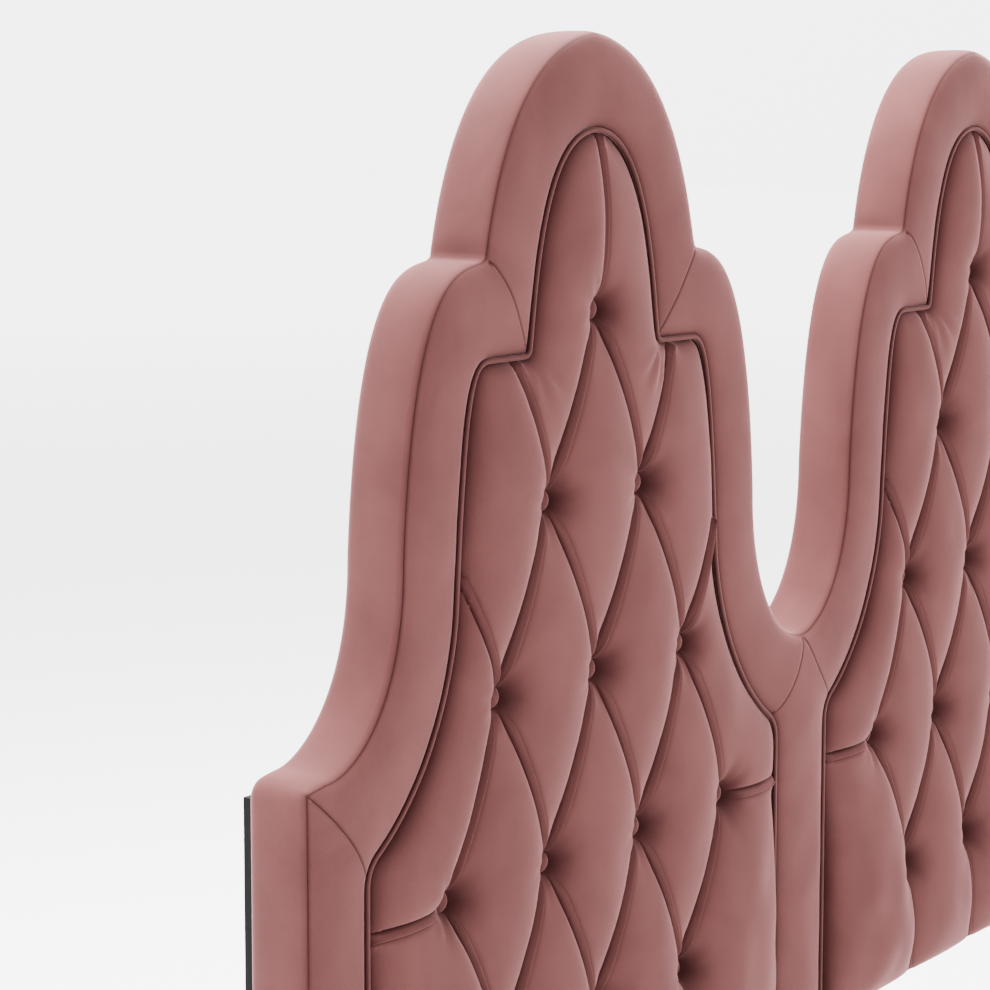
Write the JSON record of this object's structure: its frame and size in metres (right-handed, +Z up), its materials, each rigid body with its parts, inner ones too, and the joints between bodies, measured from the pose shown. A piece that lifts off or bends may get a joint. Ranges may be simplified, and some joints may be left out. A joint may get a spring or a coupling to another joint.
{
  "type": "upholstered headboard",
  "caption": "Deep-buttoned velvet headboard with two arched towers and a piped border, sliding in height on slotted legs.",
  "frame": {"origin": "on the floor under the middle of the object's box, board at its lowest setting", "axes": "+Z up, +X to the right of someone facing the velvet, the velvet faces -Y"},
  "size_m": [1.575, 0.124, 1.44],
  "materials": {
    "pad_velvet": "short-pile velvet, dusty rose, soft sheen",
    "border_velvet": "short-pile velvet, dusty rose, soft sheen, machine seams",
    "piping_velvet": "velvet-covered cord",
    "button_velvet": "velvet-covered domed button",
    "leg_paint": "satin dark grey paint on timber",
    "glide_nylon": "moulded",
    "zinc_steel": "zinc plated",
    "plywood": "raw plywood",
    "pine": "planed softwood",
    "back_cloth": "thin non-woven black cloth"
  },
  "bodies": {
    "left_leg": {"left_leg": "leg_paint", "left_glide": "glide_nylon"},
    "board": {"back_cloth": "back_cloth", "bottom_rail": "pine", "centre_border": "border_velvet", "centre_post": "pine", "edge_band": "border_velvet", "front_board": "plywood", "left_arch_rib": "plywood", "left_button_1": "button_velvet", "left_button_10": "button_velvet", "left_button_11": "button_velvet", "left_button_12": "button_velvet", "left_button_13": "button_velvet", "left_button_2": "button_velvet", "left_button_3": "button_velvet", "left_button_4": "button_velvet", "left_button_5": "button_velvet", "left_button_6": "button_velvet", "left_button_7": "button_velvet", "left_button_8": "button_velvet", "left_button_9": "button_velvet", "left_crown_border": "border_velvet", "left_lower_bolt": "zinc_steel", "left_lower_insert": "zinc_steel", "left_piping": "piping_velvet", "left_side_border": "border_velvet", "left_stile": "pine", "left_tufted_pad": "pad_velvet", "left_tufting_board": "plywood", "left_upper_bolt": "zinc_steel", "left_upper_insert": "zinc_steel", "middle_rail": "pine", "right_arch_rib": "plywood", "right_button_1": "button_velvet", "right_button_10": "button_velvet", "right_button_11": "button_velvet", "right_button_12": "button_velvet", "right_button_13": "button_velvet", "right_button_2": "button_velvet", "right_button_3": "button_velvet", "right_button_4": "button_velvet", "right_button_5": "button_velvet", "right_button_6": "button_velvet", "right_button_7": "button_velvet", "right_button_8": "button_velvet", "right_button_9": "button_velvet", "right_crown_border": "border_velvet", "right_lower_bolt": "zinc_steel", "right_lower_insert": "zinc_steel", "right_piping": "piping_velvet", "right_side_border": "border_velvet", "right_stile": "pine", "right_tufted_pad": "pad_velvet", "right_tufting_board": "plywood", "right_upper_bolt": "zinc_steel", "right_upper_insert": "zinc_steel"},
    "right_leg": {"right_leg": "leg_paint", "right_glide": "glide_nylon"}
  },
  "joints": [
    {"name": "height_adjust", "type": "slide", "parent": "left_leg", "child": "board", "axis": [0, 0, 1], "range_m": [0, 0.2]},
    {"name": "right_leg_adjust", "type": "slide", "parent": "board", "child": "right_leg", "axis": [0, 0, 1], "range_m": [-0.2, 0]}
  ],
  "couplings": [
    {"joint": "right_leg_adjust", "follows": "height_adjust", "ratio": -1}
  ]
}
